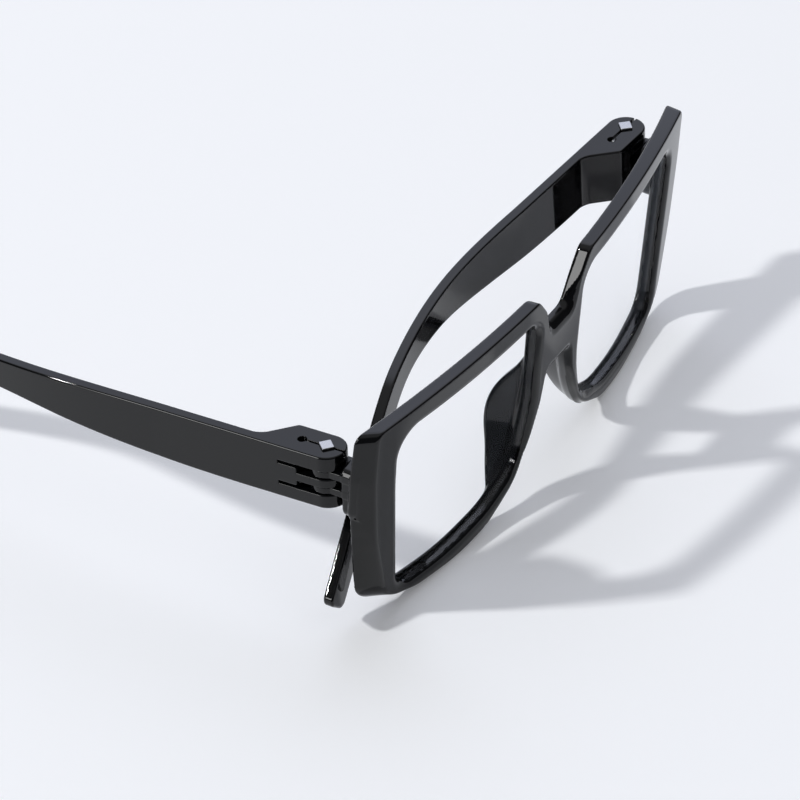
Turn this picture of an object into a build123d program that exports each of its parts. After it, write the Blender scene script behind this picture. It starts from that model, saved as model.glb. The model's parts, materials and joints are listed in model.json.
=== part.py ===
from build123d import *
import os
import math

# Square full-rim glasses with side arms on plastic knuckle hinges, standing on a table.
# Frame of the assembly: +Z up from the table, the front faces -Y, wearer's left is +X.
# The right arm is open and the left arm is folded behind the front.

# front (millimetres and degrees): x to the wearer's left, y backward, z up, origin on the
# front surface at the middle of the bridge
WRAP_R = 332.0
FRONT_T = 3.5
BACK_R = 295.0
TOP_Z = 15.2
BROW_Z = 15.9
BOTTOM_Z = -38.7
HALF_W = 70.7
OUTLINE_Y = 7.4
SIDE_FLARE = 0.38
LOW_FLARE = 0.5
FOOT_FLARE = 0.9
TOP_DROP = 0.28
BROW_DROP = 0.15
DEEPEST = 16.0
WALL_Z = -10.0
WALL_H = 90.0
LEAN = 4.6
GROUND_DROP = 38.15
LENS_T = 1.8
LENS_SET = 1.1
GROOVE = 1.1
LENS_GAP = 0.04
TOOL_Y0 = -3.0
TOOL_Y1 = 22.0
SKIN = 0.01

# nose pads: a fin down the nose side of each rim, as (x, z) of its middle line, and the
# depth of its rear edge as (y, z)
PAD_T = 2.7
PAD_START_Y = 2.0
PAD_END_Y = 14.0
PAD_SPLAY = 0.46
NOSE_SPLAY = 0.25
PAD_MIDDLE = [(7.0, 2), (7.0, -4), (7.3, -9), (8.7, -15), (11.2, -22), (14.6, -28)]
PAD_MIDDLE += [(20.3, -33), (26.4, -36)]
PAD_BACK = [(2.5, 1), (4.6, -3), (6.5, -6.7), (8.8, -9.9), (10.4, -13.7), (10.6, -18), (8.6, -25.2)]
PAD_BACK += [(7.0, -29.4), (4.9, -32.5), (2.5, -35)]

# end-piece boss that carries the lugs
BOSS_IN = 65.2
BOSS_OUT = 72.4
BOSS_TOP = 3.4
BOSS_LOW = -9.2
BOSS_Y0 = 8.0
BOSS_Y1 = 15.6
BOSS_SINK = 1.5
BOSS_REAR_U = -4.9

# hinge: u backward along the open arm, v to the wearer's outside, w up the axis, w = 0 on
# top of the block
PIVOT_X = 69.0
PIVOT_Y = 20.2
PIVOT_Z = 45.16
AXIS_TILT = -1.85
BLOCK_R = 4.5
BLOCK_H = 13.4
BLOCK_END = 9.2
RAMP_END = 15.4
SLOT_1_TOP = -3.8
SLOT_1_BOTTOM = -5.9
SLOT_2_TOP = -8.0
SLOT_2_BOTTOM = -10.0
SLOT_END = 5.2
SLIT_END = 9.8
SLIT_H = 0.8
SLIT_U = 4.5
SLIT_V = 2.4
LUG_GAP = 0.1
LUG_R = 4.1
LUG_ROOT_U = -7.2
LUG_V0 = -3.7
LUG_V1 = 3.4
PIN_R = 0.8
PIN_RUN = 0.05
PIN_HOLD = 0.02
SLIT_W = 0.6
SLIT_DEPTH = 1.3
KEY_U = 6.0
KEY_R = 1.0
REACH = 8.0

# steel clip: strip thickness and width, leg in the keyhole, square heads over the pin's ends
CLIP_T = 0.5
CLIP_W = 0.55
CLIP_SINK = 0.7
CLIP_FRONT_U = -1.2
CLIP_LEG_U0 = 5.2
CLIP_LEG_U1 = 6.5
LEG_SINK = 2.2
LINK_U0 = 5.1
LINK_U1 = 5.6
LINK_SINK = 2.6
HEAD_U = 2.9
HEAD_V = 2.75
HEAD_T = 0.5
HEAD_TURN = 46.0
HEAD_LIFT = 0.27
NECK_HALF = 0.7
PIN_SINK = 1.3

# arms: plan as v over u for the outer and the inner face, side view as w over u
STRAIGHT_U = 60.0
ARM_LEN = 150.0
INNER_V = 1.9
OUTER_BEND = [(74, 3.6), (86, 1.8), (98.5, -0.9), (115.5, -5.2), (ARM_LEN, -12.4)]
INNER_BEND = [(74, 1.0), (86, -0.8), (98.5, -3.5), (115.5, -7.9), (ARM_LEN, -14.9)]
FLAT_TOP_U = 52.0
TOP_EDGE = [(74, -0.7), (86, -1.7), (97.5, -3.3), (106.5, -5.6), (114.5, -9.8)]
LOW_EDGE = [(113, -18.4), (103, -12), (95, -9.5), (86, -8.9), (76, -9.2), (64, -10.5)]
LOW_EDGE += [(52, -11.8), (38, -12.9)]
FLAT_LOW_U = 20.0
TIP_OUT = (146.3, -36.2)
TIP_IN = (140.3, -41.2)
TIP_ROUND = 2.0
FRONT_U = -6.0
LEFT_FOLD = 86.1

os.makedirs("parts", exist_ok=True)

FRONT_LOC = Location((0, 0, GROUND_DROP), (LEAN, 0, 0))
RIGHT_HINGE = Location((-PIVOT_X, PIVOT_Y, PIVOT_Z), (AXIS_TILT, 0, 0))
LEFT_HINGE = Location((PIVOT_X, PIVOT_Y, PIVOT_Z), (AXIS_TILT, 0, 0))
LEFT_ARM = LEFT_HINGE * Location((0, 0, 0), (0, 0, LEFT_FOLD))


def rounded_face(corners, at_y):
    # closed face in the XZ plane at depth at_y, every corner (x, z, radius) rounded
    pts = [(x, z) for x, z, r in corners]
    n = len(corners)
    cut = []
    for i in range(n):
        ax, az = pts[i - 1]
        bx, bz = pts[i]
        cx, cz = pts[(i + 1) % n]
        ux, uz = ax - bx, az - bz
        vx, vz = cx - bx, cz - bz
        lu = math.hypot(ux, uz)
        lv = math.hypot(vx, vz)
        ux, uz, vx, vz = ux / lu, uz / lu, vx / lv, vz / lv
        ang = math.acos(max(-1.0, min(1.0, ux * vx + uz * vz)))
        t = corners[i][2] / math.tan(ang / 2)
        t = min(t, 0.48 * lu, 0.48 * lv)
        r = t * math.tan(ang / 2)
        hx, hz = ux + vx, uz + vz
        hl = math.hypot(hx, hz)
        d = r / math.sin(ang / 2)
        mx = bx + hx / hl * (d - r)
        mz = bz + hz / hl * (d - r)
        cut.append(((bx + ux * t, bz + uz * t), (mx, mz), (bx + vx * t, bz + vz * t)))
    edges = []
    for i in range(n):
        s, m, e = cut[i]
        nxt = cut[(i + 1) % n][0]
        a = (s[0], at_y, s[1])
        b = (m[0], at_y, m[1])
        c = (e[0], at_y, e[1])
        edges.append(ThreePointArc(a, b, c))
        edges.append(Line(c, (nxt[0], at_y, nxt[1])))
    return Face(Wire(edges))


def prism(corners, y0, y1):
    return extrude(rounded_face(corners, y0), amount=y1 - y0, dir=(0, 1, 0))


def outline(y):
    # outline at depth y: half for x > 0, then mirrored; the outer sides flare and the top drops
    out_x = HALF_W + SIDE_FLARE * (y - OUTLINE_Y)
    low_x = HALF_W + LOW_FLARE * (y - OUTLINE_Y)
    foot_x = HALF_W + FOOT_FLARE * (y - OUTLINE_Y)
    out_z = TOP_Z - TOP_DROP * (y - OUTLINE_Y)
    brow_z = BROW_Z - BROW_DROP * y
    half = [
        (4.3, 4.1, 3.0),
        (7.4, 9.0, 14.0),
        (11.9, brow_z, 3.2),
        (out_x, out_z, 2.2),
        (low_x + 0.1, 2.0, 40.0),
        (low_x - 1.3, -14.0, 60.0),
        (foot_x - 5.6, -34.7, 8.0),
        (53.5, -37.6, 20.0),
        (38.0, BOTTOM_Z, 60.0),
        (27.0, -37.3, 15.0),
        (15.8, -31.4, 14.0),
        (10.2, -21.8, 40.0),
        (6.9, -14.5, 30.0),
        (4.9, -8.6, 2.0),
    ]
    other = [(-x, z, r) for x, z, r in reversed(half)]
    return half + other


def opening(side, grow):
    pts = [
        (11.5 - grow, 9.2 + grow, 4.5 + grow),
        (62.2 + grow, 9.3 + grow, 13.0 + grow),
        (61.9 + grow, -3.0, 60.0),
        (59.2 + grow, -33.6 - grow, 4.5 + grow),
        (42.0, -34.4 - grow, 120.0),
        (27.0, -32.5 - grow, 25.0),
        (15.4 - grow, -28.0 - grow, 9.0),
        (11.2 - grow, -14.0, 40.0),
    ]
    if side < 0:
        pts = [(-x, z, r) for x, z, r in reversed(pts)]
    return pts


def shell(d0, d1):
    # curved slab between two depths behind the front surface
    c = Location((0, WRAP_R, WALL_Z))
    return c * (Cylinder(WRAP_R - d0, WALL_H) - Cylinder(WRAP_R - d1, WALL_H))


def behind_back(inset):
    # everything behind the back surface, which is more curved than the front one
    return Location((0, BACK_R + FRONT_T - inset, WALL_Z)) * Cylinder(BACK_R, WALL_H)


def through(side, grow):
    # the opening as a tool that goes right through the front
    return prism(opening(side, grow), TOOL_Y0, TOOL_Y1)


def nose_pad():
    # band along the middle line, pushed backward and outward, less on the nose side, and cut
    # to the rear edge's depth
    left = []
    right = []
    for i in range(len(PAD_MIDDLE)):
        ax, az = PAD_MIDDLE[max(i - 1, 0)]
        bx, bz = PAD_MIDDLE[min(i + 1, len(PAD_MIDDLE) - 1)]
        run = math.hypot(bx - ax, bz - az)
        nx = -(bz - az) / run * PAD_T / 2
        nz = (bx - ax) / run * PAD_T / 2
        x, z = PAD_MIDDLE[i]
        left.append((x - nx, PAD_START_Y, z - nz))
        right.append((x + nx, PAD_START_Y, z + nz))
    sides = [Spline(left), Line(left[-1], right[-1]), Spline(right[::-1]), Line(right[0], left[0])]
    face = Face(Wire(sides))
    band = extrude(face, amount=PAD_END_Y, dir=(PAD_SPLAY, 1, 0))
    band = band + extrude(face, amount=PAD_END_Y, dir=(NOSE_SPLAY, 1, 0))
    back = [(0, y, z) for y, z in PAD_BACK]
    cut = extrude(Face(Wire([Spline(back), Line(back[-1], back[0])])), amount=HALF_W, dir=(1, 0, 0))
    return band & cut


def local_box(u0, u1, v0, v1, w0, w1):
    # box in hinge coordinates: u backward, v to the wearer's outside (-X here), w up
    b = Box(v1 - v0, u1 - u0, w1 - w0)
    return Location((-(v0 + v1) / 2, (u0 + u1) / 2, (w0 + w1) / 2)) * b


def local_rod(u, v, r, w0, w1):
    return Location((-v, u, (w0 + w1) / 2)) * Cylinder(r, w1 - w0)


# ---------------------------------------------------------------- front
ends = [rounded_face(outline(y), y).outer_wire() for y in (0.0, DEEPEST)]
body = Solid.make_loft(ends, ruled=True)
body = body & shell(0, DEEPEST)
body = body - behind_back(0)
for side in (1, -1):
    body = body - through(side, 0)

# moulded nose pads, kept clear of the openings in front of the back surface
pad = nose_pad()
for p in (pad, mirror(pad, Plane.YZ)):
    body = body + (p & behind_back(FRONT_T / 2))
for side in (1, -1):
    body = body - (through(side, -SKIN) - behind_back(0))

# end-piece bosses on the back at hinge height
boss_corners = [(BOSS_IN, BOSS_TOP, 2.5), (BOSS_OUT, BOSS_TOP, 1.6)]
boss_corners += [(BOSS_OUT, BOSS_LOW, 2.4), (BOSS_IN, BOSS_LOW, 2.5)]
boss = prism(boss_corners, BOSS_Y0, BOSS_Y1) & behind_back(BOSS_SINK)
boss = boss - prism(opening(1, 1.5), TOOL_Y0, 12.0)
# the boss's rear face is square to the hinge and clears the arm as it turns
arm_room = mirror(local_box(BOSS_REAR_U, 25, -12, 6, -25, 8), Plane.YZ)
boss = boss - FRONT_LOC.inverse() * (LEFT_HINGE * arm_room)
body = body + boss + mirror(boss, Plane.YZ)

# lens grooves
for side in (1, -1):
    ring = through(side, GROOVE + LENS_GAP)
    body = body - (ring & shell(LENS_SET - LENS_GAP, LENS_SET + LENS_T + LENS_GAP))

front = FRONT_LOC * body

# hinge lugs, two per side, square to the hinge axis
lugs = Part()
for bottom, top in ((SLOT_1_BOTTOM, SLOT_1_TOP), (SLOT_2_BOTTOM, SLOT_2_TOP)):
    w0 = bottom + LUG_GAP
    w1 = top - LUG_GAP
    lugs = lugs + local_rod(0, 0, LUG_R, w0, w1) + local_box(LUG_ROOT_U, 0, LUG_V0, LUG_V1, w0, w1)
lugs = lugs - local_rod(0, 0, PIN_R + PIN_RUN, -BLOCK_H, 0)
front = front + RIGHT_HINGE * lugs + LEFT_HINGE * mirror(lugs, Plane.YZ)

# ---------------------------------------------------------------- lenses
def lens(side):
    return FRONT_LOC * (through(side, GROOVE) & shell(LENS_SET, LENS_SET + LENS_T))


# ---------------------------------------------------------------- arms
def arm_plan():
    # seen from above, pushed down through the whole height of the bent tip
    edges = [Line((-BLOCK_R, 0), (-BLOCK_R, STRAIGHT_U))]
    outer = [(STRAIGHT_U, BLOCK_R)] + OUTER_BEND
    edges.append(Spline([(-v, u) for u, v in outer], tangents=[(0, 1), (0.2, 0.98)]))
    edges.append(Line((-OUTER_BEND[-1][1], ARM_LEN), (-INNER_BEND[-1][1], ARM_LEN)))
    inner = [(STRAIGHT_U, INNER_V)] + INNER_BEND
    edges.append(Spline([(-v, u) for u, v in reversed(inner)], tangents=[(-0.2, -0.98), (0, -1)]))
    edges.append(Line((-INNER_V, STRAIGHT_U), (-INNER_V, RAMP_END)))
    edges.append(Line((-INNER_V, RAMP_END), (BLOCK_R, BLOCK_END)))
    edges.append(Line((BLOCK_R, BLOCK_END), (BLOCK_R, 0)))
    edges.append(ThreePointArc((BLOCK_R, 0), (0, -BLOCK_R), (-BLOCK_R, 0)))
    return extrude(Face(Wire(edges)), amount=-STRAIGHT_U, dir=(0, 0, 1))


def arm_side():
    # seen from the side, with the tip's two corners rounded
    top = [(0, FLAT_TOP_U, 0)] + [(0, u, w) for u, w in TOP_EDGE]
    low = [(0, u, w) for u, w in LOW_EDGE] + [(0, FLAT_LOW_U, -BLOCK_H)]
    tip_out = (0, TIP_OUT[0], TIP_OUT[1])
    tip_in = (0, TIP_IN[0], TIP_IN[1])
    edges = [Line((0, FRONT_U, 0), top[0])]
    edges.append(Spline(top, tangents=[(0, 1, 0), (0, 0.77, -0.64)]))
    edges.append(Line(top[-1], tip_out))
    edges.append(Line(tip_out, tip_in))
    edges.append(Line(tip_in, low[0]))
    edges.append(Spline(low, tangents=[(0, -0.77, 0.64), (0, -1, 0)]))
    edges.append(Line(low[-1], (0, FRONT_U, -BLOCK_H)))
    edges.append(Line((0, FRONT_U, -BLOCK_H), (0, FRONT_U, 0)))
    side = extrude(Face(Wire(edges)), amount=30, dir=(1, 0, 0), both=True)
    across = [e for e in side.edges() if abs((e @ 0.5).X) < 1]
    tip_edges = [e for e in across if (e @ 0.5).Y > TIP_IN[0] - 1 and (e @ 0.5).Z < TIP_OUT[1] + 1]
    return fillet(tip_edges, TIP_ROUND)


def arm():
    a = arm_plan() & arm_side()
    # two slots between three knuckles, each running back as a narrow slit on the outside
    for bottom, top in ((SLOT_1_BOTTOM, SLOT_1_TOP), (SLOT_2_BOTTOM, SLOT_2_TOP)):
        a = a - local_box(-REACH, SLOT_END, -REACH, REACH, bottom, top)
    a = a - local_box(SLIT_U, SLIT_END, SLIT_V, REACH, SLOT_1_TOP - SLIT_H, SLOT_1_TOP)
    a = a - local_box(SLIT_U, SLIT_END, SLIT_V, REACH, SLOT_2_BOTTOM, SLOT_2_BOTTOM + SLIT_H)
    # bore, and a keyhole with a slit at both ends for the clip
    a = a - local_rod(0, 0, PIN_R + PIN_HOLD, -BLOCK_H - 1, 1)
    a = a - local_rod(KEY_U, 0, KEY_R, -BLOCK_H - 1, 1)
    for w0, w1 in ((-SLIT_DEPTH, 1), (-BLOCK_H - 1, -BLOCK_H + SLIT_DEPTH)):
        a = a - local_box(-REACH, KEY_U, -SLIT_W / 2, SLIT_W / 2, w0, w1)
    return a


def clip():
    # C-shaped steel strip in the slits: leg in the keyhole, arms over both ends of the pin
    half = CLIP_T / 2
    c = local_box(CLIP_LEG_U0, CLIP_LEG_U1, -half, half, -BLOCK_H + LEG_SINK, -LEG_SINK)
    head = Location((0, 0, HEAD_LIFT), (0, 0, HEAD_TURN)) * Box(HEAD_U, HEAD_V, HEAD_T)
    end = local_box(CLIP_FRONT_U, LINK_U1, -half, half, -CLIP_SINK - CLIP_W, -CLIP_SINK)
    end = end + local_box(LINK_U0, LINK_U1, -half, half, -LINK_SINK, -CLIP_SINK)
    end = end + local_box(-NECK_HALF, NECK_HALF, -half, half, -CLIP_SINK, HEAD_LIFT)
    end = end + head
    middle = Plane((0, 0, -BLOCK_H / 2), z_dir=(0, 0, 1))
    return c + end + mirror(end, middle)


def pin():
    return local_rod(0, 0, PIN_R, -BLOCK_H + PIN_SINK, -PIN_SINK)


nodes = {"front_frame": front, "lens_right": lens(-1), "lens_left": lens(1)}
for name, shape in (("temple", arm()), ("hinge_clip", clip()), ("hinge_pin", pin())):
    nodes[name + "_right"] = RIGHT_HINGE * shape
    nodes[name + "_left"] = LEFT_ARM * mirror(shape, Plane.YZ)

# the origin goes to the middle of the whole box's underside, on the table
lo = Vector(1e9, 1e9, 1e9)
hi = Vector(-1e9, -1e9, -1e9)
for shape in nodes.values():
    b = shape.bounding_box()
    lo = Vector(min(lo.X, b.min.X), min(lo.Y, b.min.Y), min(lo.Z, b.min.Z))
    hi = Vector(max(hi.X, b.max.X), max(hi.Y, b.max.Y), max(hi.Z, b.max.Z))
shift = (-round((lo.X + hi.X) / 2, 3), -round((lo.Y + hi.Y) / 2, 3), -round(lo.Z, 3))
print("shift", shift, "box", tuple(hi - lo))
print("right pivot", -PIVOT_X + shift[0], PIVOT_Y + shift[1], PIVOT_Z + shift[2])
print("left pivot", PIVOT_X + shift[0], PIVOT_Y + shift[1], PIVOT_Z + shift[2])

for name, shape in nodes.items():
    shape = Location(shift) * shape
    solids = shape.solids()
    b = shape.bounding_box()
    low = (round(b.min.X, 2), round(b.min.Y, 2), round(b.min.Z, 2))
    high = (round(b.max.X, 2), round(b.max.Y, 2), round(b.max.Z, 2))
    print(name, "solids", len(solids), "valid", solids[0].is_valid, low, high)
    export_step(solids[0], "parts/" + name + ".step")
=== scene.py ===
import bpy
import json
import math
import numpy as np
from mathutils import Matrix, Vector


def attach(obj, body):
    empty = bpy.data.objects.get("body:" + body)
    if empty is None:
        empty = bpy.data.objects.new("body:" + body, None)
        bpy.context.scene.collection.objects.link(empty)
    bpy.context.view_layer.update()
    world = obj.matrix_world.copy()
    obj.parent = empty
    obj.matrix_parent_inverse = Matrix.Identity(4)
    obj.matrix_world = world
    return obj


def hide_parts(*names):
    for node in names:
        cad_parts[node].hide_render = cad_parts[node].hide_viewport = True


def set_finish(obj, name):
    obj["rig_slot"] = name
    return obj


MM = 0.001
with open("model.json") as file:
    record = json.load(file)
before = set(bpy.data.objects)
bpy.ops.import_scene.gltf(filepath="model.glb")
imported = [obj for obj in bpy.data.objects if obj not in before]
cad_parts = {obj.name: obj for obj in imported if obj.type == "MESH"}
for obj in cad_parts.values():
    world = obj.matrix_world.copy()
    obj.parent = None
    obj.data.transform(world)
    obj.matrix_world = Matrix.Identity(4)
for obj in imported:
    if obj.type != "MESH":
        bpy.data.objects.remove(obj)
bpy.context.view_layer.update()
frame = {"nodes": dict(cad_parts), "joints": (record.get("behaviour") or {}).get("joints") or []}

# ------------------------------------------------------------------ sizes, as in the CAD (mm)
WRAP_R, BACK_R, FRONT_T = 332.0, 295.0, 3.5
BOTTOM_Z, HALF_W = -38.7, 70.7
SIDE_FLARE, LOW_FLARE, FOOT_FLARE = 0.38, 0.5, 0.9
LEAN, GROUND_DROP = 4.6, 38.15
PIVOT_X, PIVOT_Y, PIVOT_Z, AXIS_TILT = 69.0, 20.2, 45.16, -1.85
LENS_T, LENS_SET, GROOVE = 1.8, 1.1, 1.1
BLOCK_H, BLOCK_R, BLOCK_END, RAMP_END = 13.4, 4.5, 9.2, 15.4
LEFT_FOLD = 86.1
joints = {j["name"]: j for j in frame["joints"]}
SHIFT = Vector(joints["right_temple_fold"]["pos_m"]) / MM - Vector((-PIVOT_X, PIVOT_Y, PIVOT_Z))


# ------------------------------------------------------------------ distance fields
def cut_round(a, b, r):
    """Intersection of two solids with the edge between them rounded to radius r."""
    u, v = np.maximum(r + a, 0), np.maximum(r + b, 0)
    return np.minimum(-r, np.maximum(a, b)) + np.sqrt(u * u + v * v)


def join_round(a, b, r):
    """Union of two solids with the corner between them filled to radius r."""
    u, v = np.maximum(r - a, 0), np.maximum(r - b, 0)
    return np.maximum(r, np.minimum(a, b)) - np.sqrt(u * u + v * v)


def smooth(t, lo, hi):
    t = np.clip((t - lo) / (hi - lo), 0, 1)
    return t * t * (3 - 2 * t)


def round_polygon(corners, closed=True):
    """Lines and tangent arcs of a polygon with rounded corners (x, z, radius)."""
    n = len(corners)
    cuts = []
    for i in range(n):
        if not closed and i in (0, n - 1):
            p = np.array(corners[i][:2], float)
            cuts.append((p, p, None, 0, 0))
            continue
        b = np.array(corners[i][:2], float)
        u = np.array(corners[i - 1][:2], float) - b
        v = np.array(corners[(i + 1) % n][:2], float) - b
        lu, lv = np.linalg.norm(u), np.linalg.norm(v)
        u, v = u / lu, v / lv
        half = math.acos(max(-1, min(1, float(u @ v)))) / 2
        t = min(corners[i][2] / math.tan(half), 0.48 * lu, 0.48 * lv)
        r = t * math.tan(half)
        h = (u + v) / np.linalg.norm(u + v)
        turn = u[0] * v[1] - u[1] * v[0]
        cuts.append((b + u * t, b + v * t, b + h * (r / math.sin(half)), r, 1 if turn > 0 else -1))
    parts = []
    for i in range(n if closed else n - 1):
        parts.append(("line", cuts[i][1], cuts[(i + 1) % n][0]))
    for a, b, c, r, turn in cuts:
        if c is not None:
            parts.append(("arc", a, b, c, r, turn))
    return parts


def flat_distance(parts, x, z):
    """Signed distance to a clockwise outline of lines and arcs, negative inside."""
    best = np.full(x.shape, 1e9)
    sign = np.ones(x.shape)
    for p in parts:
        if p[0] == "line":
            a, b = p[1], p[2]
            d = b - a
            if d @ d < 1e-12:
                continue
            px, pz = x - a[0], z - a[1]
            t = np.clip((px * d[0] + pz * d[1]) / (d @ d), 0, 1)
            dist = np.hypot(px - t * d[0], pz - t * d[1])
            side = np.where(px * d[1] - pz * d[0] > 0, -1.0, 1.0)
        else:
            _, a, b, c, r, turn = p
            px, pz = x - c[0], z - c[1]
            rho = np.hypot(px, pz)
            ua, ub = (a - c) / r, (b - c) / r
            mid = (ua + ub) / np.linalg.norm(ua + ub)
            inside = (px * mid[0] + pz * mid[1]) >= rho * (ua @ mid) - 1e-9
            dist = np.where(inside, np.abs(rho - r), 1e9)
            side = np.where(rho > r, 1.0, -1.0) * turn
        closer = dist < best
        best = np.where(closer, dist, best)
        sign = np.where(closer, side, sign)
    return best * sign


def net(field, xs, ys, zs):
    """Surface net of field < 0 on a grid: points moved onto the surface, normals, quads."""
    f = field(*np.meshgrid(xs, ys, zs, indexing="ij"))
    inside = f < 0
    count = np.zeros(tuple(k - 1 for k in f.shape), np.int8)
    for i in (0, 1):
        for j in (0, 1):
            for k in (0, 1):
                count += inside[i : i - 1 or None, j : j - 1 or None, k : k - 1 or None]
    cells = np.argwhere((count > 0) & (count < 8))
    index = np.full(count.shape, -1, np.int64)
    index[tuple(cells.T)] = np.arange(len(cells))
    axes = (xs, ys, zs)
    total, hits = np.zeros((len(cells), 3)), np.zeros(len(cells))
    for axis in range(3):
        others = [k for k in range(3) if k != axis]
        for da in (0, 1):
            for db in (0, 1):
                lo = cells.copy()
                lo[:, others[0]] += da
                lo[:, others[1]] += db
                hi = lo.copy()
                hi[:, axis] += 1
                f0, f1 = f[tuple(lo.T)], f[tuple(hi.T)]
                cross = (f0 < 0) != (f1 < 0)
                t = np.where(cross, f0 / np.where(cross, f0 - f1, 1), 0)
                p = np.stack([axes[k][lo[:, k]] for k in range(3)], 1)
                p[:, axis] += t * (axes[axis][hi[:, axis]] - p[:, axis])
                total += p * cross[:, None]
                hits += cross
    pts = total / hits[:, None]
    step = min(np.diff(a).min() for a in axes)
    eps = 1e-4
    normal = None
    for turn in range(6):
        g = np.stack(
            [
                (field(*(pts + eps * e).T) - field(*(pts - eps * e).T)) / (2 * eps)
                for e in np.eye(3)
            ],
            1,
        )
        size = np.sqrt((g * g).sum(1)) + 1e-9
        normal = g / size[:, None]
        if turn < 5:
            move = np.clip(field(*pts.T) / size, -0.5 * step, 0.5 * step)
            pts = pts - normal * move[:, None]
    quads = []
    for axis in range(3):
        a, b = [(axis + 1) % 3, (axis + 2) % 3]
        first = [slice(None)] * 3
        second = [slice(None)] * 3
        first[axis], second[axis] = slice(0, -1), slice(1, None)
        change = np.argwhere(inside[tuple(first)] != inside[tuple(second)])
        change = change[(change[:, a] > 0) & (change[:, b] > 0)]
        change = change[(change[:, a] < count.shape[a]) & (change[:, b] < count.shape[b])]
        corner = []
        for da, db in ((1, 1), (0, 1), (0, 0), (1, 0)):
            c = change.copy()
            c[:, a] -= da
            c[:, b] -= db
            corner.append(index[tuple(c.T)])
        q = np.stack(corner, 1)
        flip = ~inside[tuple(change.T)]
        q[flip] = q[flip][:, ::-1]
        quads.append(q)
    return pts, normal, np.concatenate(quads)


def grid(*spans):
    """Grid lines from (start, end, step) spans that follow one another."""
    lines = [np.array([spans[0][0]])]
    for lo, hi, step in spans:
        n = max(1, round((hi - lo) / step))
        lines.append(np.linspace(lo, hi, n + 1)[1:])
    return np.concatenate(lines)


def to_object(name, pts, normal, quads, matrix, flip=False):
    """A smooth mesh object from a net: matrix is in mm, the object is in metres."""
    m = np.array(matrix)
    if flip:
        pts, normal = pts * [-1, 1, 1], normal * [-1, 1, 1]
        quads = quads[:, ::-1]
    pts = (pts @ m[:3, :3].T + m[:3, 3]) * MM
    normal = normal @ m[:3, :3].T
    mesh = bpy.data.meshes.new(name)
    mesh.vertices.add(len(pts))
    mesh.vertices.foreach_set("co", pts.astype(np.float32).ravel())
    mesh.loops.add(quads.size)
    mesh.loops.foreach_set("vertex_index", quads.ravel().astype(np.int32))
    mesh.polygons.add(len(quads))
    mesh.polygons.foreach_set("loop_start", np.arange(0, quads.size, 4, dtype=np.int32))
    mesh.update(calc_edges=True)
    mesh.validate()
    mesh.shade_smooth()
    mesh.normals_split_custom_set_from_vertices(normal.astype(np.float32))
    obj = bpy.data.objects.new(name, mesh)
    bpy.context.scene.collection.objects.link(obj)
    return obj


class Spline:
    """Natural cubic spline through (t, value) points, straight beyond its ends."""

    def __init__(self, points):
        self.t = np.array([p[0] for p in points], float)
        self.v = np.array([p[1] for p in points], float)
        n = len(self.t)
        h = np.diff(self.t)
        a, b = np.eye(n), np.zeros(n)
        for i in range(1, n - 1):
            a[i, i - 1 : i + 2] = h[i - 1], 2 * (h[i - 1] + h[i]), h[i]
            b[i] = 6 * ((self.v[i + 1] - self.v[i]) / h[i] - (self.v[i] - self.v[i - 1]) / h[i - 1])
        self.m = np.linalg.solve(a, b)

    def __call__(self, x):
        """(value, slope) at x."""
        t, v, m = self.t, self.v, self.m
        c = np.clip(x, t[0], t[-1])
        i = np.clip(np.searchsorted(t, c) - 1, 0, len(t) - 2)
        h = t[i + 1] - t[i]
        a, b = (t[i + 1] - c) / h, (c - t[i]) / h
        value = a * v[i] + b * v[i + 1] + ((a**3 - a) * m[i] + (b**3 - b) * m[i + 1]) * h * h / 6
        bend = (1 - 3 * a * a) * m[i] + (3 * b * b - 1) * m[i + 1]
        slope = (v[i + 1] - v[i]) / h + bend * h / 6
        return value + slope * (x - c), slope


def below(value, curve, x):
    """Distance above the curve value = curve(x), negative below it."""
    c, slope = curve(x)
    return (value - c) / np.sqrt(1 + slope * slope)


def rotation_x(degrees):
    return Matrix.Rotation(math.radians(degrees), 4, "X")


def rotation_z(degrees):
    return Matrix.Rotation(math.radians(degrees), 4, "Z")


def placed(x, y, z, tilt):
    """A frame at that point of the lying glasses, tilted about x."""
    return Matrix.Translation(SHIFT) @ Matrix.Translation((x, y, z)) @ rotation_x(tilt)


FRONT_M = placed(0, 0, GROUND_DROP, LEAN)
HINGE_M = {side: placed(side * PIVOT_X, PIVOT_Y, PIVOT_Z, AXIS_TILT) for side in (-1, 1)}
ARM_M = {-1: HINGE_M[-1], 1: HINGE_M[1] @ rotation_z(LEFT_FOLD)}

# ------------------------------------------------------------------ the front
BROW_X, BROW_Z, OUTLINE_Y, TOP_DROP, BROW_DROP = 11.9, 15.9, 7.4, 0.28, 0.15
TOP_OUT_Z = 15.2
OUTLINE = round_polygon(
    [
        (0, 4.1, 0),
        (4.3, 4.1, 3.0),
        (7.4, 9.0, 14.0),
        (BROW_X, BROW_Z - BROW_DROP * OUTLINE_Y, 3.2),
        (HALF_W, TOP_OUT_Z, 2.2),
        (HALF_W + 0.1, 2.0, 40.0),
        (HALF_W - 1.3, -14.0, 60.0),
        (HALF_W - 5.6, -34.7, 8.0),
        (53.5, -37.6, 20.0),
        (38.0, BOTTOM_Z, 60.0),
        (27.0, -37.3, 15.0),
        (15.8, -31.4, 14.0),
        (10.2, -21.8, 40.0),
        (6.9, -14.5, 30.0),
        (4.9, -8.6, 2.0),
        (0, -8.6, 0),
    ],
    closed=False,
)
OPENING = round_polygon(
    [
        (11.5, 9.2, 4.5),
        (62.2, 9.3, 13.0),
        (61.9, -3.0, 60.0),
        (59.2, -33.6, 4.5),
        (42.0, -34.4, 120.0),
        (27.0, -32.5, 25.0),
        (15.4, -28.0, 9.0),
        (11.2, -14.0, 40.0),
    ]
)
BRIDGE_IN, BRIDGE_OUT = 4.5, 8.5
FLARE_FROM, FLARE_FULL = 50, 66
SIDE_BEND_Z, FOOT_BEND_Z, FOOT_Z = 2, -14, -34.7
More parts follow.
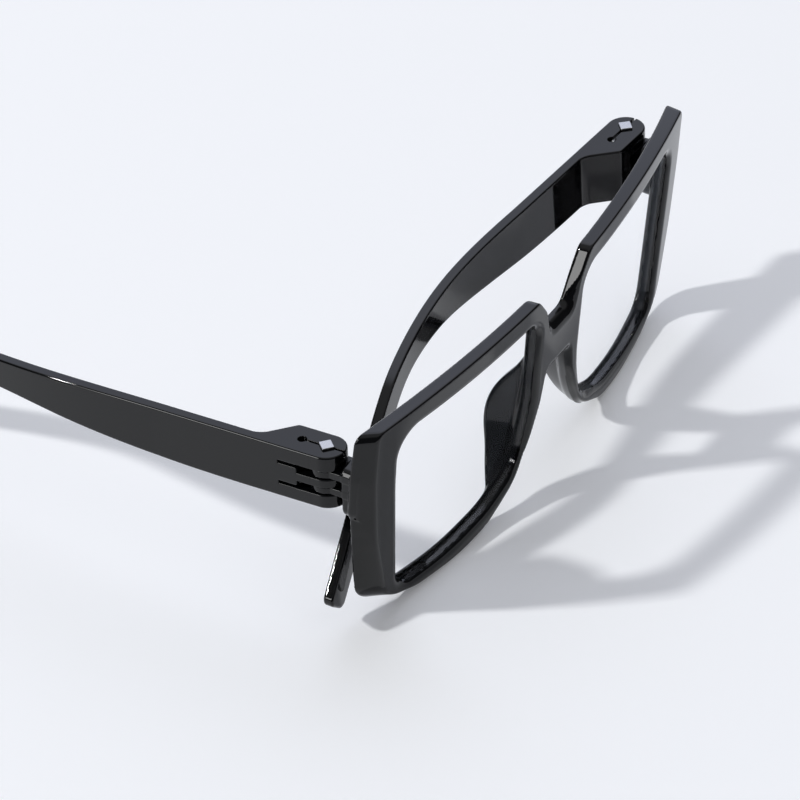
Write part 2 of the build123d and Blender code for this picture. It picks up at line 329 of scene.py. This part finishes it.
PAD_T, PAD_START_Y, PAD_SPLAY, NOSE_SPLAY = 2.7, 2.0, 0.46, 0.25
BACK_EDGE_R, FRONT_EDGE_R, BRIDGE_EDGE_R, OPENING_FRONT_R, OPENING_BACK_R = 0.7, 0.6, 2.4, 2.8, 0.9
PAD_EDGE_R, PAD_FILLET_R, BOSS_EDGE_R, BOSS_FILLET_R = 1.2, 1.5, 0.7, 0.8
LUG_EDGE_R, LUG_FILLET_R, GROOVE_EDGE_R, GROOVE_GAP = 0.25, 0.3, 0.12, 0.04
BOSS_BACK, BOSS_DEEP, BOSS_CLEAR = 4.9, 1.5, 0.9
LUG_ROOT, LUG_IN, LUG_OUT = -7.2, -3.7, 3.4
PAD_MIDDLE = Spline(
    [(-36, 26.4), (-33, 20.3), (-28, 14.6), (-22, 11.2), (-15, 8.7), (-9, 7.3), (-4, 7.0), (2, 7.0)]
)
PAD_BACK = Spline(
    [(-35, 2.5), (-32.5, 4.9), (-29.4, 7.0), (-25.2, 8.6), (-18, 10.6), (-13.7, 10.4), (-9.9, 8.8)]
    + [(-6.7, 6.5), (-3, 4.6), (1, 2.5)]
)
BOSS = round_polygon([(65.2, 3.4, 2.5), (72.4, 3.4, 1.6), (72.4, -9.2, 2.4), (65.2, -9.2, 2.5)])
SLOTS = ((-5.9, -3.8), (-10.0, -8.0))
LUG_GAP, LUG_R, PIN_R = 0.1, 4.1, 0.8
TO_HINGE = np.array(HINGE_M[1].inverted() @ FRONT_M)


def box2(x, y, x0, x1, y0, y1):
    """Signed distance to a rectangle."""
    dx, dy = np.maximum(x0 - x, x - x1), np.maximum(y0 - y, y - y1)
    return np.minimum(np.maximum(dx, dy), 0) + np.hypot(np.maximum(dx, 0), np.maximum(dy, 0))


def front_faces(x, y):
    """(distance in front of the front surface, distance behind the back surface)."""
    return (
        np.hypot(x, WRAP_R - y) - WRAP_R,
        BACK_R - np.hypot(x, BACK_R + FRONT_T - y),
    )


def front_field(x, y, z):
    ax = np.abs(x)
    dy = y - OUTLINE_Y
    along = np.clip((ax - BROW_X) / (HALF_W - BROW_X), 0, 1)
    upper = np.clip((z - SIDE_BEND_Z) / (TOP_OUT_Z - SIDE_BEND_Z), 0, 1)
    lower = np.clip((FOOT_BEND_Z - z) / (FOOT_BEND_Z - FOOT_Z), 0, 1)
    flare = LOW_FLARE + (SIDE_FLARE - LOW_FLARE) * upper + (FOOT_FLARE - LOW_FLARE) * lower
    xr = ax - flare * dy * smooth(ax, FLARE_FROM, FLARE_FULL)
    zr = z + smooth(z, 5, 12) * dy * ((1 - along) * BROW_DROP + along * TOP_DROP)
    rim = flat_distance(OUTLINE, xr, zr)
    ahead, behind = front_faces(ax, y)
    hole = flat_distance(OPENING, ax, z)
    body = cut_round(rim, behind, BACK_EDGE_R)
    fuller = BRIDGE_EDGE_R * (1 - smooth(ax, BRIDGE_IN, BRIDGE_OUT))
    body = cut_round(body, cut_round(ahead, -hole, OPENING_FRONT_R), FRONT_EDGE_R + fuller)
    body = cut_round(body, cut_round(behind, -hole, OPENING_BACK_R), 0.1)
    # nose pads, moulded into the back of each rim
    middle, slope = PAD_MIDDLE(z)
    outside, inside = (
        (ax - middle - splay * (y - PAD_START_Y)) / np.sqrt(1 + splay**2 + slope * slope)
        for splay in (PAD_SPLAY, NOSE_SPLAY)
    )
    aside = np.maximum(outside, -inside) - PAD_T / 2
    pad = cut_round(aside, below(y, PAD_BACK, z), PAD_EDGE_R)
    pad = np.maximum(pad, -behind - FRONT_T / 2)
    body = join_round(body, pad, PAD_FILLET_R)
    # end-piece boss and its two lugs
    v, u, w = (row[0] * ax + row[1] * y + row[2] * z + row[3] for row in TO_HINGE[:3])
    boss = cut_round(flat_distance(BOSS, ax, z), u + BOSS_BACK, BOSS_EDGE_R)
    boss = np.maximum(np.maximum(boss, -behind - BOSS_DEEP), BOSS_CLEAR - hole)
    body = join_round(body, boss, BOSS_FILLET_R)
    flat = np.minimum(np.hypot(u, v) - LUG_R, box2(u, v, LUG_ROOT, 0, LUG_IN, LUG_OUT))
    for low, high in SLOTS:
        lug = cut_round(flat, np.abs(w - (low + high) / 2) - (high - low) / 2 + LUG_GAP, LUG_EDGE_R)
        body = join_round(body, lug, LUG_FILLET_R)
    body = np.maximum(body, PIN_R + 0.05 - np.hypot(u, v))
    # lens groove
    middle = np.abs(ahead + LENS_SET + LENS_T / 2) - LENS_T / 2 - GROOVE_GAP
    groove = np.maximum(hole - GROOVE - GROOVE_GAP, middle)
    return cut_round(body, -groove, GROOVE_EDGE_R)


def lens_field(x, y, z):
    ahead = front_faces(x, y)[0]
    edge = flat_distance(OPENING, np.abs(x), z) - GROOVE
    sheet = np.abs(ahead + LENS_SET + LENS_T / 2) - LENS_T / 2
    return cut_round(edge, sheet, 0.2)


# ------------------------------------------------------------------ the arms
OUTER = Spline(
    [(40, 4.5), (60, 4.5), (74, 3.6), (86, 1.8), (98.5, -0.9), (115.5, -5.2), (150, -12.4)]
)
INNER = Spline(
    [(40, 1.9), (60, 1.9), (74, 1.0), (86, -0.8), (98.5, -3.5), (115.5, -7.9), (150, -14.9)]
)
TOP = Spline(
    [(40, 0), (52, 0), (74, -0.7), (86, -1.7), (97.5, -3.3), (106.5, -5.6), (114.5, -9.8)]
    + [(146.3, -36.2)]
)
LOW = Spline(
    [(10, -13.4), (20, -13.4), (38, -12.9), (52, -11.8), (64, -10.5), (76, -9.2), (86, -8.9)]
    + [(95, -9.5), (103, -12), (113, -18.4), (140.3, -41.2)]
)
TIP_OUT, TIP_IN, TIP_ROUND, END_TRIM = (146.3, -36.2), (140.3, -41.2), 2.0, 0.35
SLOT_END, SLIT_END, SLIT_H, SLIT_U, SLIT_V = 5.2, 9.8, 0.8, 4.5, 2.4
KEY_U, KEY_R, SLIT_W, SLIT_DEPTH = 6.0, 1.0, 0.6, 1.3
BLADE_U, STRAIGHT_U, LOW_U, HALF_BLOCK = 3, 41, 11, 1.9
RAMP_EDGE_R, BLADE_FILLET_R, ARM_EDGE_R = 0.5, 1.2, 0.5
SLOT_EDGE_R, SLIT_EDGE_R, KEY_EDGE_R = 0.22, 0.15, 0.12


def arm_field(x, u, w):
    v = -x
    nose = np.hypot(np.minimum(u, 0), v) - BLOCK_R
    rise = BLOCK_R + HALF_BLOCK
    run = math.hypot(RAMP_END - BLOCK_END, rise)
    ramp = ((u - BLOCK_END) * rise - (v + BLOCK_R) * (RAMP_END - BLOCK_END)) / run
    block = cut_round(nose, ramp, RAMP_EDGE_R)
    behind_block = np.maximum(u, STRAIGHT_U)
    outer = below(v, OUTER, behind_block)
    inner = -below(v, INNER, behind_block)
    blade = np.maximum(np.maximum(outer, inner), BLADE_U - u)
    plan = join_round(block, blade, BLADE_FILLET_R)
    plan = np.maximum(plan, outer)
    dx, dz = TIP_OUT[0] - TIP_IN[0], TIP_OUT[1] - TIP_IN[1]
    end = ((u - TIP_IN[0]) * -dz + (w - TIP_IN[1]) * dx) / -math.hypot(dx, dz) + END_TRIM
    side = cut_round(below(w, TOP, behind_block), end, TIP_ROUND)
    side = cut_round(side, -below(w, LOW, np.maximum(u, LOW_U)), TIP_ROUND)
    arm = cut_round(plan, side, ARM_EDGE_R)
    for low, high in SLOTS:
        slot = np.maximum(np.abs(w - (low + high) / 2) - (high - low) / 2, u - SLOT_END)
        arm = cut_round(arm, -slot, SLOT_EDGE_R)
    for middle in (SLOTS[0][1] - SLIT_H / 2, SLOTS[1][0] + SLIT_H / 2):
        slit = box2(u, w - middle, SLIT_U, SLIT_END, -SLIT_H / 2, SLIT_H / 2)
        arm = cut_round(arm, -np.maximum(slit, SLIT_V - v), SLIT_EDGE_R)
    high = np.abs(w + BLOCK_H / 2) - BLOCK_H / 2
    key = np.hypot(u - KEY_U, v) - KEY_R
    line = np.maximum(np.maximum(np.abs(v) - SLIT_W / 2, u - KEY_U), -SLIT_DEPTH - high)
    arm = cut_round(arm, -np.minimum(key, line), KEY_EDGE_R)
    return np.maximum(arm, PIN_R + 0.02 - np.hypot(u, v))


# ------------------------------------------------------------------ the clips
def box3(p, half):
    """Signed distance to a box about the origin."""
    d = [np.abs(p[k]) - half[k] for k in range(3)]
    out = np.sqrt(sum(np.maximum(k, 0) ** 2 for k in d))
    return np.minimum(np.maximum(np.maximum(d[0], d[1]), d[2]), 0) + out


def span_box(x, u, w, us, vs, ws, r=0.0):
    mid = [(a[0] + a[1]) / 2 for a in (vs, us, ws)]
    half = [(a[1] - a[0]) / 2 - r for a in (vs, us, ws)]
    return box3((x - mid[0], u - mid[1], w - mid[2]), half) - r


HEAD_TURN, HEAD_T, HEAD_U, HEAD_V, HEAD_LIFT, HEAD_R = math.radians(46.0), 0.5, 2.9, 2.75, 0.27, 0.16
CLIP_SINK, CLIP_DEEP, CLIP_T, CLIP_R = 0.7, 1.25, 0.5, 0.1
# strips of one end of the clip, as (u from, u to, depth from, depth to): web, link, neck
CLIP_STRIPS = ((-1.2, 5.6, CLIP_SINK, CLIP_DEEP), (5.1, 5.6, CLIP_SINK, 2.6), (-0.7, 0.7, -0.3, 0.9))
LEG_U0, LEG_U1, LEG_SINK = 5.2, 6.5, 2.2


def clip_field(x, u, w):
    """A steel strip: a leg inside the block and, at each end, a web, a neck and a square head."""
    thick = (-CLIP_T / 2, CLIP_T / 2)
    f = span_box(x, u, w, (LEG_U0, LEG_U1), thick, (LEG_SINK - BLOCK_H, -LEG_SINK), CLIP_R)
    for u0, u1, sink, deep in CLIP_STRIPS:
        for ws in ((-deep, -sink), (sink - BLOCK_H, deep - BLOCK_H)):
            f = np.minimum(f, span_box(x, u, w, (u0, u1), thick, ws, CLIP_R))
    c, s = math.cos(HEAD_TURN), math.sin(HEAD_TURN)
    hx, hu = x * c + u * s, -x * s + u * c
    half = [size / 2 - HEAD_R for size in (HEAD_U, HEAD_V, HEAD_T)]
    for middle in (HEAD_LIFT, -BLOCK_H - HEAD_LIFT):
        head = box3((hx, hu, w - middle), half) - HEAD_R
        f = join_round(f, head, 0.05)
    return f


# ------------------------------------------------------------------ pieces
coarse = 1.0


def spans(*rows):
    return grid(*((lo, hi, step * coarse) for lo, hi, step in rows))


front_x = spans((-75.4, -62.4, 0.25), (-62.4, 62.4, 0.5), (62.4, 75.4, 0.25))
front_y = spans((-0.6, 12.4, 0.35), (12.4, 26.0, 0.25))
front_z = spans((-39.6, -11.0, 0.4), (-11.0, 5.0, 0.25), (5.0, 19.0, 0.4))
arm_x = spans((-5.2, 5.2, 0.2), (5.2, 16.0, 0.35))
arm_u = spans((-5.2, 11.2, 0.2), (11.2, 20, 0.4), (20, 60, 1.0), (60, 138, 0.7), (138, 151, 0.4))
arm_w = spans((-41.2, -14.2, 0.4), (-14.2, 1.0, 0.2))
lens_x = spans((8.5, 65.5, 0.8))
lens_y = spans((-0.3, 13.6, 0.3))
lens_z = spans((-37.2, 13.0, 0.8))
clip_x = spans((-2.6, 2.6, 0.1))
clip_u = spans((-2.4, 7.0, 0.12))
clip_w = spans((-13.8, 0.8, 0.1))

front_net = net(front_field, front_x, front_y, front_z)
made = {"front_shell": to_object("front_shell", *front_net, FRONT_M)}
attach(made["front_shell"], "front")
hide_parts("front_frame")
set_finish(made["front_shell"], "black_plastic")
lens_net = net(lens_field, lens_x, lens_y, lens_z)
arm_net = net(arm_field, arm_x, arm_u, arm_w)
clip_net = net(clip_field, clip_x, clip_u, clip_w)
for side, name in ((-1, "right"), (1, "left")):
    for kind, shape, matrix, body, node, slot in (
        ("clear_lens", lens_net, FRONT_M, "front", "lens", "clear_lens"),
        ("side_arm", arm_net, ARM_M[side], name + "_arm", "temple", "black_plastic"),
        ("steel_clip", clip_net, ARM_M[side], name + "_arm", "hinge_clip", "hinge_steel"),
    ):
        flip = side < 0 if kind == "clear_lens" else side > 0
        piece = to_object(kind + "_" + name, *shape, matrix, flip)
        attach(piece, body)
        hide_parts(node + "_" + name)
        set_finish(piece, slot)
        made[piece.name] = piece


# ------------------------------------------------------------------ materials
def material(name):
    m = bpy.data.materials.new(name)
    m.use_nodes = True
    tree = m.node_tree
    return m, tree, tree.nodes["Principled BSDF"]


def node(tree, kind, inputs=(), **settings):
    n = tree.nodes.new(kind)
    for key, value in settings.items():
        setattr(n, key, value)
    for key, value in dict(inputs).items():
        if isinstance(value, bpy.types.NodeSocket):
            tree.links.new(value, n.inputs[key])
        else:
            n.inputs[key].default_value = value
    return n


def ranged(tree, value, lo, hi, to_lo, to_hi):
    return node(
        tree,
        "ShaderNodeMapRange",
        {"Value": value, "From Min": lo, "From Max": hi, "To Min": to_lo, "To Max": to_hi},
    ).outputs["Result"]


def black_plastic():
    m, tree, bsdf = material("gloss_black_plastic")
    place = node(tree, "ShaderNodeTexCoord").outputs["Object"]
    smear = node(tree, "ShaderNodeTexNoise", {"Vector": place, "Scale": 60.0, "Detail": 4.0})
    bsdf.inputs["Base Color"].default_value = (0.0016, 0.0018, 0.0022, 1)
    bsdf.inputs["IOR"].default_value = 1.5
    bsdf.inputs["Specular IOR Level"].default_value = 0.36
    rough = ranged(tree, smear.outputs["Fac"], 0.35, 0.7, 0.03, 0.055)
    tree.links.new(rough, bsdf.inputs["Roughness"])
    return m


def clear_lens():
    """Clear, coated against reflections: it lets nearly everything through unbent."""
    m, tree, bsdf = material("clear_acrylic_lens")
    tree.nodes.remove(bsdf)
    clear = node(tree, "ShaderNodeBsdfTransparent", {"Color": (1.0, 1.0, 1.0, 1)})
    shine = node(tree, "ShaderNodeBsdfGlossy", {"Color": (0.8, 0.88, 1.0, 1), "Roughness": 0.02})
    edge = node(tree, "ShaderNodeLayerWeight", {"Blend": 0.5}).outputs["Facing"]
    steep = node(tree, "ShaderNodeMath", {0: edge, 1: 5.0}, operation="POWER").outputs[0]
    share = ranged(tree, steep, 0.0, 1.0, 0.002, 0.08)
    mix = node(tree, "ShaderNodeMixShader", {0: share, 1: clear.outputs[0], 2: shine.outputs[0]})
    tree.links.new(mix.outputs[0], tree.nodes["Material Output"].inputs["Surface"])
    return m


def brushed_steel():
    m, tree, bsdf = material("brushed_steel")
    place = node(tree, "ShaderNodeTexCoord").outputs["Object"]
    stretch = node(tree, "ShaderNodeMapping", {"Vector": place, "Scale": (300.0, 6000.0, 6000.0)})
    lines = {"Vector": stretch.outputs[0], "Scale": 1.0, "Detail": 3.0}
    grain = node(tree, "ShaderNodeTexNoise", lines).outputs["Fac"]
    bsdf.inputs["Base Color"].default_value = (0.5, 0.5, 0.51, 1)
    bsdf.inputs["Metallic"].default_value = 1.0
    tree.links.new(ranged(tree, grain, 0.3, 0.7, 0.2, 0.42), bsdf.inputs["Roughness"])
    bump = node(tree, "ShaderNodeBump", {"Strength": 0.25, "Distance": 0.0001, "Height": grain})
    tree.links.new(bump.outputs["Normal"], bsdf.inputs["Normal"])
    return m


finishes = {
    "black_plastic": black_plastic(),
    "clear_lens": clear_lens(),
    "hinge_steel": brushed_steel(),
}
for piece in made.values():
    piece.data.materials.append(finishes[piece["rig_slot"]])
for name in ("hinge_pin_right", "hinge_pin_left"):
    frame["nodes"][name].data.materials.clear()
    frame["nodes"][name].data.materials.append(finishes["hinge_steel"])

# ------------------------------------------------------------------ table, light and camera
table = bpy.data.meshes.new("table_top")
NEAR_EDGE, FAR_EDGE = -0.33, 3.0
turns = ((NEAR_EDGE, NEAR_EDGE), (FAR_EDGE, NEAR_EDGE), (FAR_EDGE, FAR_EDGE), (NEAR_EDGE, FAR_EDGE))
table.from_pydata([(x, y, 0) for x, y in turns], [], [(0, 1, 2, 3)])
floor = bpy.data.objects.new("table_top", table)
bpy.context.scene.collection.objects.link(floor)
m, tree, bsdf = material("pale_table_with_painted_glow")
bsdf.inputs["Base Color"].default_value = (0.86, 0.87, 0.88, 1)
bsdf.inputs["Roughness"].default_value = 0.6
# painted light: the table glows a little of its own, standing in for fill light that lightens the
# shadows on it
bsdf.inputs["Emission Color"].default_value = (0.96, 0.97, 1.0, 1)
bsdf.inputs["Emission Strength"].default_value = 0.15
table.materials.append(m)

world = bpy.data.worlds.new("studio")
bpy.context.scene.world = world
world.use_nodes = True
sky = world.node_tree
facing = node(sky, "ShaderNodeTexCoord").outputs["Generated"]


def lobe(direction, inner, outer, radiance):
    """A soft round patch of sky: full within inner degrees of its middle, gone by outer."""
    away = Vector(direction).normalized()
    near = node(sky, "ShaderNodeVectorMath", {0: facing, 1: tuple(away)}, operation="DOT_PRODUCT")
    edge, full = math.cos(math.radians(outer)), math.cos(math.radians(inner))
    patch = ranged(sky, near.outputs["Value"], edge, full, 0.0, radiance)
    patch.node.interpolation_type = "SMOOTHSTEP"
    return patch


def sky_math(operation, inputs):
    return node(sky, "ShaderNodeVectorMath", inputs, operation=operation).outputs[0]


glow = (0.08, 0.082, 0.088)
for patch, colour in (
    (lobe((0.15, 0.0, 1.0), 34, 54, 0.46), (0.97, 0.975, 1.0)),
    (lobe((0.694, 0.402, 0.60), 26, 38, 1.1), (0.79, 0.835, 1.0)),
):
    glow = sky_math("ADD", {0: glow, 1: sky_math("SCALE", {0: colour, "Scale": patch})})
back = sky.nodes["Background"]
sky.links.new(glow, back.inputs["Color"])
back.inputs["Strength"].default_value = 1.0


LIGHT_DISTANCE = 6.0


def softbox(name, direction, size, radiance):
    """A rectangular white panel of that radiance, facing the object."""
    light = bpy.data.lights.new(name, "AREA")
    light.shape, light.size, light.size_y = "RECTANGLE", size[0], size[1]
    light.energy = radiance * math.pi * size[0] * size[1]
    lamp = bpy.data.objects.new(name, light)
    lamp.rotation_mode = "QUATERNION"
    away = Vector(direction).normalized()
    lamp.location = away * LIGHT_DISTANCE
    lamp.rotation_quaternion = away.to_track_quat("Z", "Y")
    bpy.context.scene.collection.objects.link(lamp)
    return lamp


softbox("key", (-0.519, 0.577, 0.629), (0.36, 0.36), 545)
window = softbox("window", (-0.80, 0.40, 0.44), (1.6, 2.8), 8)
window.visible_diffuse = False  # it shows only in the plastic's reflections

AIM, DISTANCE = Vector((0.00717, -0.03708, 0.0)), 1.3368
AZIMUTH, ELEVATION, ROLL = math.radians(-60.36), math.radians(36.666), math.radians(-0.726)
toward = Vector(
    (
        math.sin(AZIMUTH) * math.cos(ELEVATION),
        -math.cos(AZIMUTH) * math.cos(ELEVATION),
        math.sin(ELEVATION),
    )
)
camera = bpy.data.objects.new("camera", bpy.data.cameras.new("camera"))
camera.data.lens, camera.data.sensor_width = 263.81, 36.0
camera.data.clip_start, camera.data.clip_end = 0.01, 20.0
camera.location = AIM + toward * DISTANCE
camera.rotation_mode = "QUATERNION"
turn = Matrix.Rotation(ROLL, 4, "Z").to_quaternion()
camera.rotation_quaternion = toward.to_track_quat("Z", "Y") @ turn
bpy.context.scene.collection.objects.link(camera)
bpy.context.scene.camera = camera
bpy.context.scene.view_settings.view_transform = "Standard"
